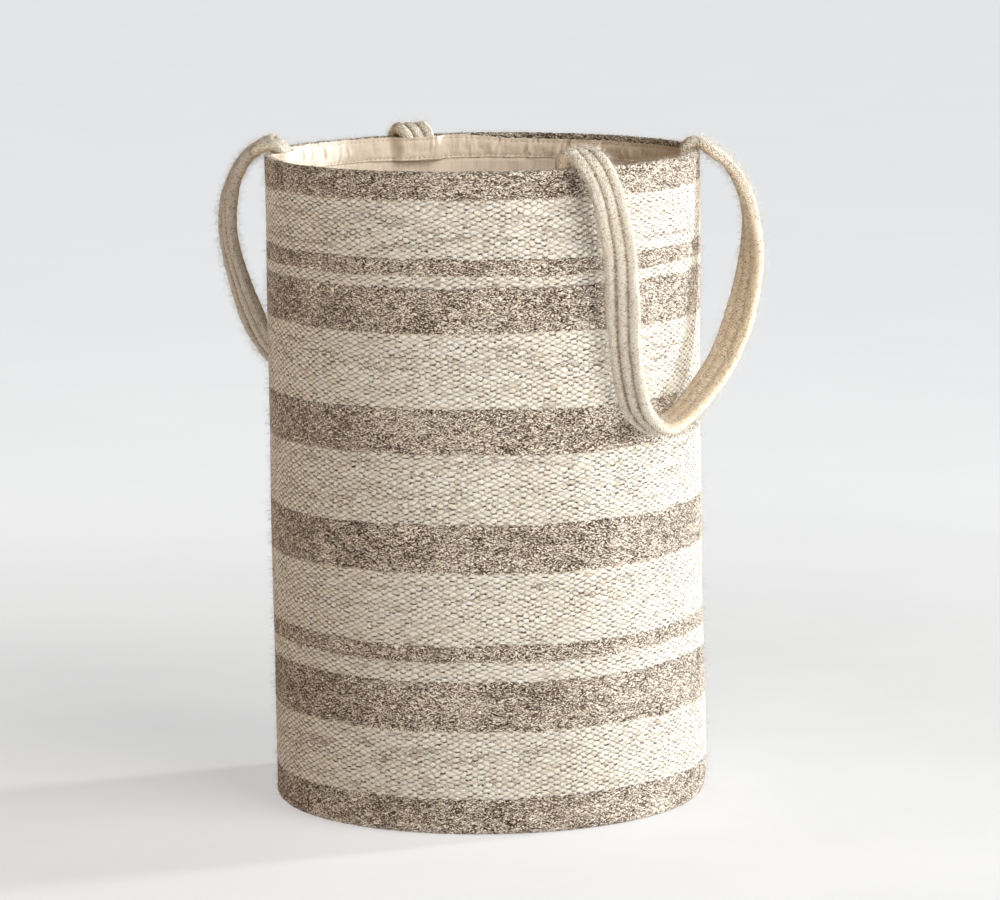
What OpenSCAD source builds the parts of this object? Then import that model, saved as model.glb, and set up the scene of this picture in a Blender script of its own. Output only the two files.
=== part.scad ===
// Striped woven hamper: open cylinder with a sewn-in cotton liner and two strap handles.
// Millimetres, +Z up, origin at the centre of the resting face.
// The right handle sits on +X and the left handle left_turn degrees round from it.
// Each end of a strap is sewn in under the liner facing.

/* [Body] */
// Outside diameter of the woven wall
outer_d = 406; // [300:1:500]
// Height of the rolled rim above the floor
rim_h = 610; // [300:1:700]
// Thickness of the woven fabric
weave_t = 3.2; // [2:0.1:5]
// Outside radius of the rounded bottom edge
foot_r = 8; // [5:0.5:12]
// Depth of the hem turned in at the rim
hem_depth = 34; // [20:1:50]
// Width of the strip of wall turned in under the base
foot_turn = 5; // [3:0.5:10]

/* [Stiffening] */
// Thickness of the sheet that keeps the wall round
stiff_t = 1.4; // [1:0.1:3]
// Thickness of the base board
board_t = 2.5; // [2:0.5:5]

/* [Liner] */
// Thickness of the cotton cloth
cotton_t = 1.2; // [0.6:0.1:2]
// Height of the facing band
facing_h = 26; // [18:1:40]
// Distance from the rim down to the top of the facing
facing_drop = 6; // [3:0.5:12]
// Length of one seam stitch
stitch_l = 6; // [3:0.5:10]

/* [Handles] */
// Half of the angle between the two ends of one handle
end_angle = 31; // [20:1:40]
// Angle from the right handle round to the left handle
left_turn = 172; // [165:1:180]
// Width of the strap
strap_w = 32; // [20:1:45]
// Thickness of the strap at the ribs
strap_t = 10.8; // [6:0.1:14]
// Drop of the hanging loop below the rim
loop_drop = 240; // [150:5:320]
// Length of strap sewn in below the rim
tail_len = 24; // [15:1:40]

/* [Hidden] */
$fn = 96;
gap = 0.2;
out_r = outer_d / 2;
in_r = out_r - weave_t;
hem_r = in_r - weave_t;
axis_z = rim_h - weave_t;
liner_r = hem_r - 0.4;
board_z = weave_t + gap;
floor_z = board_z + board_t + gap;
face_out = liner_r - cotton_t - 0.4;
face_top = rim_h - facing_drop;
face_bot = face_top - facing_h;
liner_top = face_bot + 10;
// distance of the flat outer face of a strap end from the basket axis
tail_out = sqrt(pow(liner_r - cotton_t, 2) - pow(strap_w / 2, 2)) - 0.1;
arch_in = in_r - tail_out;
// strap section half-thickness on the inner side, and the centre line radius of the fold
half_in = strap_t * 0.49;
arch_mid = arch_in + half_in;
pocket = face_out - (tail_out - strap_t) + 0.4;
end_x = in_r * cos(end_angle);
end_y = in_r * sin(end_angle);
dir_x = cos(end_angle);
dir_y = sin(end_angle);
wy = end_y / 102.9;
wz = loop_drop / 240;

// ---- strap section: [across, outward], three round ribs outside, shallow ones inside ----
sw = strap_w / 32;
st = strap_t / 10.8;
strap_section = [
  [-16 * sw, 0.5 * st], [-15.4 * sw, 3.6 * st], [-13 * sw, 5.1 * st], [-10.8 * sw, 5.5 * st],
  [-8 * sw, 4.9 * st], [-5.5 * sw, 3.4 * st], [-3 * sw, 5 * st], [0, 5.5 * st],
  [3 * sw, 5 * st], [5.5 * sw, 3.4 * st], [8 * sw, 4.9 * st], [10.8 * sw, 5.5 * st],
  [13 * sw, 5.1 * st], [15.4 * sw, 3.6 * st], [16 * sw, 0.5 * st], [15.6 * sw, -3.2 * st],
  [13 * sw, -5 * st], [9 * sw, -5.29 * st], [5.5 * sw, -4.6 * st], [0, -5.29 * st],
  [-5.5 * sw, -4.6 * st], [-9 * sw, -5.29 * st], [-13 * sw, -5 * st], [-15.6 * sw, -3.2 * st]
];

// thread lying in one of the two grooves of the strap
function thread_section(side) = [
  for (a = [0:60:300]) [side * 5.5 * sw + 0.65 * cos(a), 4.4 * st + 0.65 * sin(a)]
];

// ---- strap paths: rows [along the rim, outward, below the hinge, normal x3] ----
right_rows = [
  [-111, 14, -10, -0.5, 0.75, -0.45],
  [-110, 24, 5, -0.55, 0.72, -0.4],
  [-109, 32, 27, -0.58, 0.75, -0.3],
  [-101, 37, 70, -0.75, 0.62, -0.1],
  [-98, 38, 111, -0.9, 0.4, 0],
  [-93, 38, 166, -0.95, 0.2, 0.1],
  [-81, 40, 212, -0.8, 0.1, 0.5],
  [-66, 44, 231, -0.6, 0, 0.8],
  [-48, 48, 239, -0.1, 0, 1],
  [-20, 50, 232, 0.3, 0, 0.9],
  [12, 52, 217, 0.5, 0, 0.8],
  [55, 54, 188, 0.7, 0, 0.6],
  [86, 56, 149, 0.9, 0.1, 0.3],
  [106, 57, 98, 0.9, 0.35, 0],
  [119, 47, 48, 0.65, 0.72, -0.3],
  [114, 32, 14, 0.45, 0.66, -0.6],
  [105, 17, -1, 0.38, 0.62, -0.68]
];
left_rows = [
  [-109, 13, -3, -0.52, 0.85, -0.3],
  [-109, 24, 15, -0.55, 0.75, -0.4],
  [-104, 33, 42, -0.6, 0.75, -0.2],
  [-99, 37, 82, -0.75, 0.62, -0.1],
  [-97, 38, 120, -0.9, 0.4, 0],
  [-92, 38, 168, -0.95, 0.2, 0.1],
  [-80, 40, 208, -0.8, 0.1, 0.5],
  [-62, 44, 230, -0.5, 0, 0.85],
  [-40, 48, 239, -0.1, 0, 1],
  [-4, 50, 233, 0.3, 0, 0.9],
  [34, 50, 212, 0.5, 0, 0.8],
  [76, 47, 173, 0.75, 0.05, 0.6],
  [105, 50, 103, 0.9, 0, 0.35],
  [117, 48, 59, 0.95, 0.1, 0.1],
  [113, 42, 26, 0.85, 0.45, -0.2],
  [106, 30, 4, 0.6, 0.66, -0.5],
  [102, 15, -7, 0.38, 0.62, -0.68]
];
// how much higher than round each front fold stands
right_rise = 1.6;
left_rise = 1;

// one row of the fold over the rim at the end on side s (-1 front, +1 rear), a = 0 inside, 180 outside
function arch_row(s, a, rise) = [
  s * (end_y - dir_y * arch_mid * cos(a)),
  -dir_x * arch_mid * cos(a),
  -arch_mid * rise * sin(a),
  -s * dir_y * cos(a), -dir_x * cos(a), -sin(a)
];

// loop rows at their real size
function sized(r) = [r[0] * wy, r[1], r[2] * wz, r[3], r[4], r[5]];

function full_path(rows, rise) = concat(
  [for (a = [0:20:120]) arch_row(-1, a, rise)],
  [for (r = rows) sized(r)],
  [for (a = [120:-20:0]) arch_row(1, a, 1)]
);

function curve(p0, p1, p2, p3, t) =
  0.5 * (2 * p1 + (p2 - p0) * t + (2 * p0 - 5 * p1 + 4 * p2 - p3) * t * t
  + (3 * p1 - p0 - 3 * p2 + p3) * t * t * t);

function at(p, i) = p[max(0, min(len(p) - 1, i))];

// points of the path between rows a and b, with m steps per row
function smooth(p, a, b, m) = concat(
  [for (i = [a:b - 1]) for (k = [0:m - 1]) curve(at(p, i - 1), at(p, i), at(p, i + 1), at(p, i + 2), k / m)],
  [p[b]]
);

function unit(v) = v / norm(v);
function place(r) = [end_x + r[1], r[0], axis_z - r[2]];
function hint(r) = [r[4], r[3], -r[5]];

// direction of the path at ring i; the ring where a fold meets its sewn-in end is level
function along(p, i) =
  p[i][2] == 0 ? [0, 0, i == 0 ? 1 : -1] : unit(place(at(p, i + 1)) - place(at(p, i - 1)));

// outward direction of the strap at ring i, square to the path
function face(p, i) = unit(hint(p[i]) - (hint(p[i]) * along(p, i)) * along(p, i));

// one ring of the swept section; pull moves it along the path
function ring(p, i, sec, pull) = [
  for (s = sec) place(p[i]) + pull * along(p, i) + s[0] * cross(along(p, i), face(p, i)) + s[1] * face(p, i)
];

// path p is swept with section sec; the first and last rings are moved along it by e0 and e1
module sweep(p, sec, e0, e1) {
  n = len(p);
  m = len(sec);
  pts = [for (i = [0:n - 1]) each ring(p, i, sec, i == 0 ? e0 : (i == n - 1 ? e1 : 0))];
  sides = [
    for (i = [0:n - 2]) for (k = [0:m - 1])
    [i * m + k, i * m + (k + 1) % m, (i + 1) * m + (k + 1) % m, (i + 1) * m + k]
  ];
  start = [[for (k = [m - 1:-1:0]) k]];
  end = [[for (k = [0:m - 1]) (n - 1) * m + k]];
  polyhedron(points = pts, faces = concat(sides, start, end), convexity = 10);
}

first_loop = 9;
last_loop = 21;

// the three stretches of a whole path p
function front_part(p) = smooth(p, 0, first_loop, 2);
function loop_part(p) = smooth(p, first_loop, last_loop, 3);
function rear_part(p) = smooth(p, last_loop, len(p) - 1, 2);

right_path = full_path(right_rows, right_rise);
left_path = full_path(left_rows, left_rise);

// ---- facing: follows the wall and goes over the four sewn-in strap ends ----
function ramp(a) = a < 5.6 ? 1 : (a > 13 ? 0 : 0.5 + 0.5 * cos((a - 5.6) / 7.4 * 180));
function angle_between(a, b) = abs((a - b + 540) % 360 - 180);
function from_end(phi) = min([
  for (e = [end_angle, -end_angle, left_turn - end_angle, left_turn + end_angle]) angle_between(phi, e)
]);
function cover(phi) = pocket * ramp(from_end(phi));

module facing_outline(r) {
  polygon([for (a = [-90:2:268]) (r - cover(a)) * [cos(a), sin(a)]]);
}

// ---- pieces ----
module woven_shell() {
  color([0.8, 0.73, 0.64])
  rotate_extrude(angle = 360) {
    translate([in_r, foot_r]) square([weave_t, axis_z - foot_r]);
    translate([hem_r, rim_h - hem_depth]) square([weave_t * 2, axis_z - rim_h + hem_depth]);
    translate([in_r, axis_z]) circle(weave_t);
    intersection() {
      translate([out_r - foot_r, 0]) square([foot_r, foot_r]);
      difference() {
        translate([out_r - foot_r, foot_r]) circle(foot_r);
        translate([out_r - foot_r, foot_r]) circle(foot_r - weave_t);
      }
    }
    polygon([
      [out_r - foot_r, 0], [out_r - foot_r, weave_t], [out_r - foot_r - foot_turn, weave_t],
      [out_r - foot_r - foot_turn, 1.2], [out_r - foot_r - foot_turn + 1.2, 0]
    ]);
  }
}

module base_panel() {
  color([0.72, 0.64, 0.55])
  rotate_extrude(angle = 360)
  polygon([
    [0, 0], [out_r - foot_r - foot_turn - 1.2, 0], [out_r - foot_r - foot_turn, 1.2],
    [out_r - foot_r - foot_turn, weave_t], [0, weave_t]
  ]);
}

module base_seam_stitching() {
  n = 90;
  color([0.82, 0.76, 0.65])
  for (i = [0:n - 1])
  rotate([0, 0, i * 360 / n])
  translate([out_r - foot_r - foot_turn, 0, 0.32])
  cube([0.8, stitch_l, 0.5], center = true);
}

module wall_stiffener() {
  color([0.6, 0.52, 0.42])
  translate([0, 0, foot_r])
  difference() {
    cylinder(r = in_r - gap, h = rim_h - hem_depth - foot_r - 2);
    translate([0, 0, -1]) cylinder(r = in_r - gap - stiff_t, h = rim_h);
  }
}

module base_board() {
  color([0.62, 0.54, 0.43])
  translate([0, 0, board_z])
  cylinder(r = out_r - foot_r, h = board_t);
}

module liner_wall() {
  color([0.93, 0.88, 0.79])
  translate([0, 0, floor_z])
  difference() {
    cylinder(r = liner_r, h = liner_top - floor_z);
    translate([0, 0, -1]) cylinder(r = liner_r - cotton_t, h = rim_h);
  }
}

module liner_side_seam() {
  color([0.9, 0.84, 0.74])
  translate([0, 0, floor_z + 4])
  rotate([0, 0, 88])
  rotate_extrude(angle = 4)
  translate([liner_r - cotton_t * 2 - 0.1, 0]) square([cotton_t, face_bot - floor_z - 6]);
}

module liner_floor() {
  color([0.9, 0.85, 0.76])
  translate([0, 0, floor_z])
  cylinder(r = liner_r - cotton_t - gap, h = cotton_t);
}

module liner_facing() {
  color([0.95, 0.91, 0.83])
  translate([0, 0, face_bot])
  linear_extrude(height = facing_h)
  difference() {
    facing_outline(face_out);
    facing_outline(face_out - cotton_t);
  }
}

module facing_stitching() {
  n = 120;
  color([0.86, 0.79, 0.67])
  for (i = [0:n - 1]) {
    a = -90 + i * 360 / n;
    r0 = face_out - cotton_t - cover(a) - 0.95;
    r1 = face_out - cotton_t - cover(a + 1.8) - 0.95;
    p0 = r0 * [cos(a), sin(a)];
    p1 = r1 * [cos(a + 1.8), sin(a + 1.8)];
    translate([p0[0], p0[1], face_bot + 5])
    rotate([0, 0, atan2(p1[1] - p0[1], p1[0] - p0[0])])
    translate([0, -0.4, 0])
    cube([norm(p1 - p0), 0.8, 0.9]);
  }
}

// sewn-in strap end on side s of the handle (-1 front, +1 rear)
module tail(s) {
  color([0.9, 0.85, 0.75])
  rotate([0, 0, s * end_angle])
  translate([tail_out - half_in, 0, axis_z - tail_len])
  rotate([0, 0, 90])
  linear_extrude(height = tail_len - 0.05)
  polygon(strap_section);
}

module right_front_tail() {
  tail(-1);
}

module right_rear_tail() {
  tail(1);
}

module left_front_tail() {
  rotate([0, 0, left_turn]) tail(1);
}

module left_rear_tail() {
  rotate([0, 0, left_turn]) tail(-1);
}

module front_fold(p) {
  color([0.92, 0.87, 0.77])
  sweep(front_part(p), strap_section, 0, -0.4);
}

module rear_fold(p) {
  color([0.92, 0.87, 0.77])
  sweep(rear_part(p), strap_section, 0.4, 0);
}

module right_front_fold() {
  front_fold(right_path);
}

module right_rear_fold() {
  rear_fold(right_path);
}

module left_front_fold() {
  rotate([0, 0, left_turn]) rear_fold(left_path);
}

module left_rear_fold() {
  rotate([0, 0, left_turn]) front_fold(left_path);
}

module handle_loop(p) {
  color([0.94, 0.89, 0.8])
  sweep(loop_part(p), strap_section, 0, 0);
}

module handle_stitching(p) {
  color([0.72, 0.58, 0.36]) {
    sweep(loop_part(p), thread_section(-1), 0.5, -0.5);
    sweep(loop_part(p), thread_section(1), 0.5, -0.5);
  }
}

module right_handle_loop() {
  handle_loop(right_path);
}

module left_handle_loop() {
  rotate([0, 0, left_turn]) handle_loop(left_path);
}

module right_handle_stitching() {
  handle_stitching(right_path);
}

module left_handle_stitching() {
  rotate([0, 0, left_turn]) handle_stitching(left_path);
}

woven_shell();
base_panel();
base_seam_stitching();
wall_stiffener();
base_board();
liner_wall();
liner_side_seam();
liner_floor();
liner_facing();
facing_stitching();
right_front_tail();
right_rear_tail();
left_front_tail();
left_rear_tail();
right_front_fold();
right_rear_fold();
left_front_fold();
left_rear_fold();
right_handle_loop();
left_handle_loop();
right_handle_stitching();
left_handle_stitching();
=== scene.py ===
import math

import bmesh
import bpy
import numpy as np
from mathutils import Matrix, Vector


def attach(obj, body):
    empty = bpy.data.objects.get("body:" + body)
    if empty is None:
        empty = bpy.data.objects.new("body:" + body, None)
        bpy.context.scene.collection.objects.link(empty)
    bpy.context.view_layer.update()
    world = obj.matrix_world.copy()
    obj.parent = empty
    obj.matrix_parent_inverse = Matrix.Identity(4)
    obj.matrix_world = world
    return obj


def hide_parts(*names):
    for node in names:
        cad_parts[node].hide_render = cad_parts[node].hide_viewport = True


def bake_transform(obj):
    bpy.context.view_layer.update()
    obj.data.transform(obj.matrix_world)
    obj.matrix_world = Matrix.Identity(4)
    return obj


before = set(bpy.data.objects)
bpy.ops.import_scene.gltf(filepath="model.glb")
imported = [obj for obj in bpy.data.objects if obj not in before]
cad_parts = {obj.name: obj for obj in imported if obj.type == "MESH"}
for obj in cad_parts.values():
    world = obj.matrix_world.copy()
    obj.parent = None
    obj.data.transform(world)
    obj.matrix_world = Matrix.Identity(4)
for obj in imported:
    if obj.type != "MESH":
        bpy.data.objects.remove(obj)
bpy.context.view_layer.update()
pi = math.pi
MM = 0.001

# ---------------------------------------------------------------- sizes (metres)
R_OUT = 0.203
R_IN = 0.1998
Z_AXIS = 0.6068
END = math.radians(31)
AX = 0.17126
LEFT_TURN = math.radians(172)  # from the right handle round to the left one
CYCLES = 116  # floats of yarn round the wall
ROW = 0.0025  # height of one row of weave
FOOT = 0.008  # radius of the rounded foot of the wall
FOOT_ARC = 0.01257  # path length round the foot
HEM = 0.0032  # radius of the wall's turn at the rim
LINER_R = 0.1942  # inner radius of the liner wall
CAM_DIR = math.radians(-58)
RIGHT_DIR = CAM_DIR + pi / 2


# ---------------------------------------------------------------- numpy helpers
def lattice(seed, nu, nv):
    return np.random.default_rng(seed).uniform(-1, 1, (nv + 2, nu))


def vnoise(u, v, nu, nv, seed):
    """Smooth noise in -1..1: nu cells round u (0..1, wraps) and nv cells along v (0..1)."""
    g = lattice(seed, nu, nv)
    x = (np.asarray(u) % 1.0) * nu
    y = np.clip(np.asarray(v), 0, 0.99999) * nv
    x0 = np.floor(x).astype(int)
    y0 = np.floor(y).astype(int)
    fx = x - x0
    fy = y - y0
    fx = fx * fx * (3 - 2 * fx)
    fy = fy * fy * (3 - 2 * fy)
    a = g[y0, x0 % nu] * (1 - fx) + g[y0, (x0 + 1) % nu] * fx
    b = g[y0 + 1, x0 % nu] * (1 - fx) + g[y0 + 1, (x0 + 1) % nu] * fx
    return a * (1 - fy) + b * fy


def sstep(x, a, b):
    t = np.clip((np.asarray(x, float) - a) / (b - a), 0, 1)
    return t * t * (3 - 2 * t)


def wobble(phi, z):
    """Radial unevenness of the soft wall, in metres, shared by cover, liner and facing."""
    u = phi / (2 * pi)
    soft = 0.0009 * vnoise(u, z / 0.62, 7, 4, 3) + 0.0005 * vnoise(u, z / 0.62, 15, 9, 4)
    lobe = np.clip(np.cos(phi - RIGHT_DIR), 0, 1) ** 2
    lean = np.interp(z, [0, 0.06, 0.13, 0.2, 0.28, 0.38, 0.5, 0.6], [2.4, 2.1, 0.5, -0.8, -1.6, -1.3, 0, 0.8])
    return soft + lobe * lean * MM


def rim_lift(phi, z):
    """Uneven height of the rim, fading out downwards."""
    u = phi / (2 * pi)
    return sstep(z, 0.35, 0.61) * (0.0009 * vnoise(u, 0.5, 9, 1, 8) + 0.0003 * vnoise(u, 0.5, 40, 1, 9))


def make_mesh(name, verts, faces, uvs=None, smooth=True):
    me = bpy.data.meshes.new(name)
    me.from_pydata(np.asarray(verts, float).reshape(-1, 3).tolist(), [], np.asarray(faces).tolist())
    for layer, values in (uvs or {}).items():
        me.uv_layers.new(name=layer).data.foreach_set("uv", np.asarray(values, np.float32).ravel())
    me.polygons.foreach_set("use_smooth", np.full(len(me.polygons), smooth))
    me.update()
    ob = bpy.data.objects.new(name, me)
    bpy.context.scene.collection.objects.link(ob)
    return ob


def grid_faces(rows, cols, wrap_u, wrap_v=False):
    """Quads of a rows x cols grid of vertices."""
    i = np.arange(rows if wrap_v else rows - 1)[:, None]
    j = np.arange(cols if wrap_u else cols - 1)[None, :]
    i2, j2 = (i + 1) % rows, (j + 1) % cols
    q = np.stack([i * cols + j, i * cols + j2, i2 * cols + j2, i2 * cols + j], -1)
    return q.reshape(-1, 4)


def grid_uv(rows, cols, wrap_u, wrap_v, U, V):
    """Per-corner UV for grid_faces. U and V are (rows + wrap_v) x (cols + wrap_u) arrays."""
    r = rows if wrap_v else rows - 1
    c = cols if wrap_u else cols - 1
    i, j = np.arange(r)[:, None], np.arange(c)[None, :]

    def pick(A):
        return np.stack([A[i, j], A[i, j + 1], A[i + 1, j + 1], A[i + 1, j]], -1)

    return np.stack([pick(U), pick(V)], -1).reshape(-1, 2)


def pillow(s, t):
    """Height 0..1 of the staggered ovals of the weave. s counts floats round, t counts rows."""
    a, b = s + t / 2, s - t / 2
    fa = np.abs(2 * (a - np.floor(a)) - 1)
    fb = np.abs(2 * (b - np.floor(b)) - 1)
    return (1 - fa**2.4) * (1 - fb**2.4)


# ---------------------------------------------------------------- shader helpers
class Shade:
    """Short names for building a node tree."""

    def __init__(self, name):
        self.mat = bpy.data.materials.new(name)
        self.mat.use_nodes = True
        self.t = self.mat.node_tree
        self.t.nodes.clear()
        self.out = self.t.nodes.new("ShaderNodeOutputMaterial")
        self.bsdf = self.t.nodes.new("ShaderNodeBsdfPrincipled")
        self.t.links.new(self.bsdf.outputs[0], self.out.inputs[0])
        self.x = 0

    def node(self, kind, **props):
        n = self.t.nodes.new(kind)
        self.x += 1
        n.location = (-180 * (self.x % 12) - 300, -160 * (self.x // 12))
        for k, v in props.items():
            setattr(n, k, v)
        return n

    def put(self, socket, value):
        if isinstance(value, bpy.types.NodeSocket):
            self.t.links.new(value, socket)
        elif value is not None:
            socket.default_value = value

    def math(self, op, a, b=None, c=None, clamp=False):
        n = self.node("ShaderNodeMath", operation=op, use_clamp=clamp)
        for i, v in enumerate((a, b, c)):
            self.put(n.inputs[i], v)
        return n.outputs[0]

    def uv(self, name):
        n = self.node("ShaderNodeUVMap", uv_map=name)
        s = self.node("ShaderNodeSeparateXYZ")
        self.t.links.new(n.outputs[0], s.inputs[0])
        return s.outputs[0], s.outputs[1]

    def coords(self):
        return self.node("ShaderNodeTexCoord").outputs["Object"]

    def vec(self, x=0.0, y=0.0, z=0.0):
        n = self.node("ShaderNodeCombineXYZ")
        for i, v in enumerate((x, y, z)):
            self.put(n.inputs[i], v)
        return n.outputs[0]

    def noise(self, vec, scale, detail=2.0, rough=0.5):
        n = self.node("ShaderNodeTexNoise")
        self.put(n.inputs["Vector"], vec)
        self.put(n.inputs["Scale"], scale)
        self.put(n.inputs["Detail"], detail)
        self.put(n.inputs["Roughness"], rough)
        return n.outputs["Fac"]

    def white(self, vec):
        n = self.node("ShaderNodeTexWhiteNoise", noise_dimensions="3D")
        self.put(n.inputs["Vector"], vec)
        return n.outputs["Value"]

    def remap(self, v, a, b, c=0.0, d=1.0, smooth=True):
        n = self.node("ShaderNodeMapRange", interpolation_type="SMOOTHSTEP" if smooth else "LINEAR")
        for i, x in enumerate((v, a, b, c, d)):
            self.put(n.inputs[i], x)
        return n.outputs[0]

    def mix(self, f, a, b, mode="MIX"):
        n = self.node("ShaderNodeMix", data_type="RGBA", blend_type=mode)
        self.put(n.inputs["Factor"], f)
        self.put(n.inputs["A"], a if isinstance(a, bpy.types.NodeSocket) else (*a, 1))
        self.put(n.inputs["B"], b if isinstance(b, bpy.types.NodeSocket) else (*b, 1))
        return n.outputs["Result"]

    def ramp(self, f, stops, mode="LINEAR"):
        n = self.node("ShaderNodeValToRGB")
        n.color_ramp.interpolation = mode
        while len(n.color_ramp.elements) < len(stops):
            n.color_ramp.elements.new(1.0)
        for e, (p, c) in zip(n.color_ramp.elements, stops):
            e.position = p
            e.color = (*c, 1) if hasattr(c, "__len__") else (c, c, c, 1)
        self.put(n.inputs[0], f)
        return n.outputs[0]

    def bump(self, height, distance, strength=1.0, normal=None):
        n = self.node("ShaderNodeBump")
        self.put(n.inputs["Height"], height)
        n.inputs["Distance"].default_value = distance
        n.inputs["Strength"].default_value = strength
        if normal is not None:
            self.put(n.inputs["Normal"], normal)
        return n.outputs[0]

    def finish(self, color, rough, normal=None, sheen=0.2, spec=0.2):
        if not isinstance(color, bpy.types.NodeSocket):
            color = (*color, 1)
        self.put(self.bsdf.inputs["Base Color"], color)
        self.put(self.bsdf.inputs["Roughness"], rough)
        if normal is not None:
            self.put(self.bsdf.inputs["Normal"], normal)
        self.bsdf.inputs["Sheen Weight"].default_value = sheen
        self.bsdf.inputs["Sheen Roughness"].default_value = 0.6
        self.bsdf.inputs["Specular IOR Level"].default_value = spec
        return self.mat


# stripe limits in rows of weave, from the floor up: taupe first, then cream, in turn
STRIPE_SPAN = 270.0  # rows of weave that the stripe ramp covers
HIDDEN_ROW = 262.0  # row used where the weave is hidden, inside the wall
STRIPES = [13.2, 37.4, 56.3, 64.3, 70.2, 96.2, 114.2, 140.1, 156.6, 183.8, 201, 205.5, 211, 232.4]
# colours of the brown stripes' salt-and-pepper grain, from dark to light
TAUPE_STOPS = [
    (0.38, (0.008, 0.004, 0.002)),
    (0.45, (0.055, 0.028, 0.015)),
    (0.50, (0.29, 0.175, 0.105)),
    (0.54, (0.88, 0.725, 0.575)),
    (0.59, (1.0, 0.92, 0.80)),
]


def yarn_cells(m, s, t):
    """The staggered floats of the weave at (s, t): height, cell numbers, places inside the cell."""
    a = m.math("MULTIPLY_ADD", t, 0.5, s)
    b = m.math("MULTIPLY_ADD", t, -0.5, s)
    ca, cb = m.math("FLOOR", a), m.math("FLOOR", b)
    xa, xb = m.math("FRACT", a), m.math("FRACT", b)
    fa = m.math("ABSOLUTE", m.math("MULTIPLY_ADD", xa, 2.0, -1.0))
    fb = m.math("ABSOLUTE", m.math("MULTIPLY_ADD", xb, 2.0, -1.0))
    ha = m.math("SUBTRACT", 1.0, m.math("POWER", fa, 2.6))
    hb = m.math("SUBTRACT", 1.0, m.math("POWER", fb, 2.6))
    return m.math("MULTIPLY", ha, hb), ca, cb, xa, xb


def fleck_noise(m, x, y, turn, fine=1.0):
    """Short slanting fibre flecks; x and y in millimetres, about 1 mm thick and 2.6 mm long."""
    c, sn = math.cos(turn), math.sin(turn)
    along = m.math("MULTIPLY_ADD", x, c, m.math("MULTIPLY", y, sn))
    across = m.math("MULTIPLY_ADD", x, -sn, m.math("MULTIPLY", y, c))
    along = m.math("MULTIPLY", along, 0.30 * fine)
    across = m.math("MULTIPLY", across, 0.82 * fine)
    return m.noise(m.vec(along, across, turn * 9), 1.0, 1.5, 0.75)


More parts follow.
